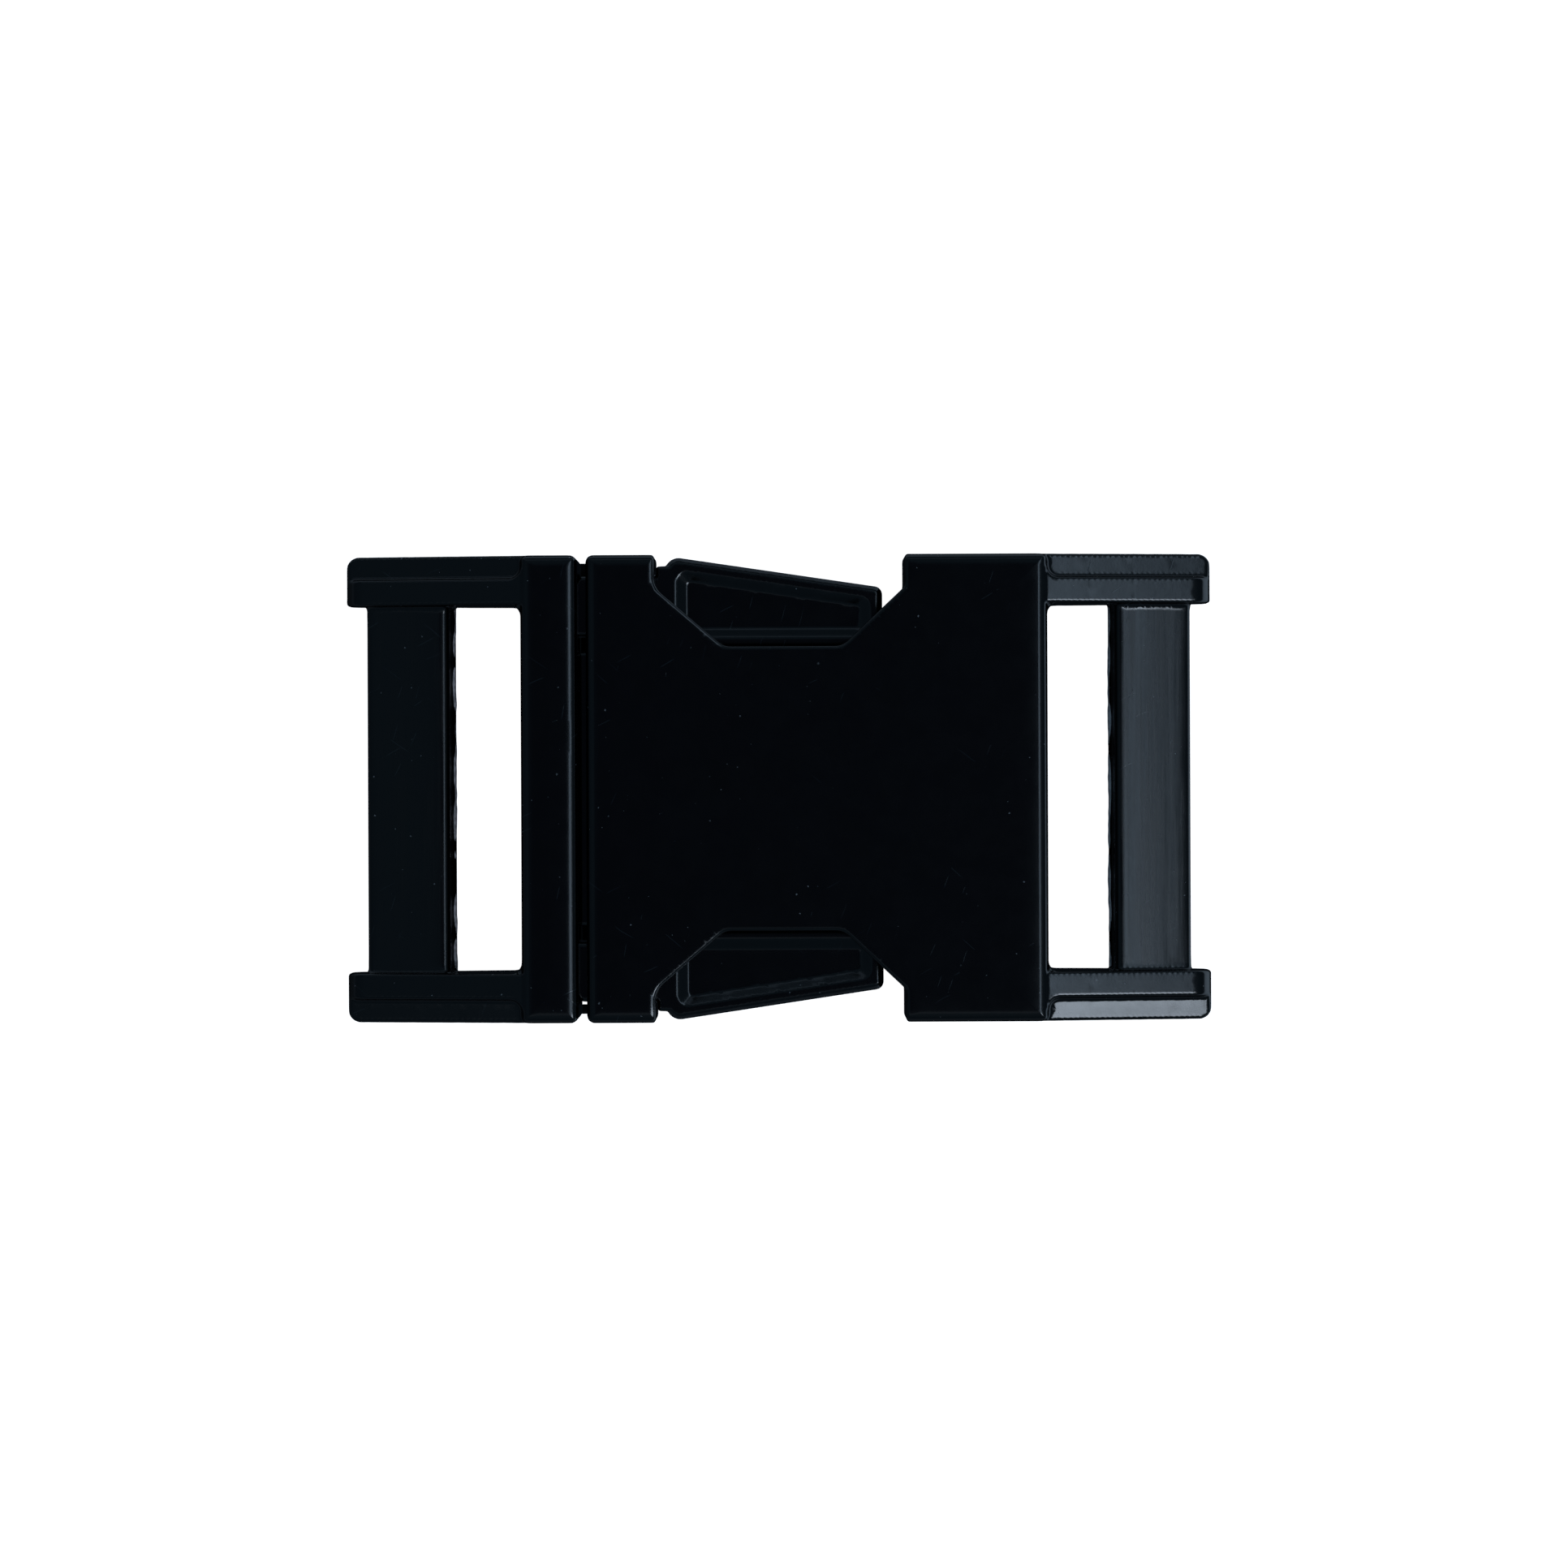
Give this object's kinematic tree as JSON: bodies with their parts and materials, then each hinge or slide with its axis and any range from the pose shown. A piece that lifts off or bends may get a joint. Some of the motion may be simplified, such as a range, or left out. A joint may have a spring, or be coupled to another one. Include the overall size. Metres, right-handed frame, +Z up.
{
  "type": "side release buckle",
  "caption": "Fastened metal side release buckle with webbing bars at both ends and hinged side levers.",
  "frame": {"origin": "centre of the underside, on the surface the buckle lies on", "axes": "+X along the webbing towards the female end, +Y across the webbing, +Z up out of the face that shows"},
  "size_m": [0.0612, 0.033, 0.009],
  "materials": {
    "painted_casting": "satin black paint on a zinc casting",
    "painted_lever": "satin black paint on a zinc casting",
    "pin_steel": "plain turned steel",
    "spring_steel": "drawn wire"
  },
  "bodies": {
    "buckle": {"female_body": "painted_casting", "male_frame": "painted_casting", "pivot_pin_left": "pin_steel", "pivot_pin_right": "pin_steel", "spring_left": "spring_steel", "spring_right": "spring_steel"},
    "left_lever": {"lever_left": "painted_lever"},
    "right_lever": {"lever_right": "painted_lever"}
  },
  "joints": [
    {"name": "lever_left_hinge", "type": "hinge", "parent": "buckle", "child": "left_lever", "pos_m": [-0.0156, 0.0119, 0.0045], "axis": [0, 0, -1], "range_deg": [0, 16], "stiffness_Nm_per_rad": 0.05, "springref_deg": -28.65, "deforming": ["spring_left"]},
    {"name": "lever_right_hinge", "type": "hinge", "parent": "buckle", "child": "right_lever", "pos_m": [-0.0156, -0.0119, 0.0045], "axis": [0, 0, 1], "range_deg": [0, 16], "stiffness_Nm_per_rad": 0.05, "springref_deg": -28.65, "deforming": ["spring_right"]}
  ]
}
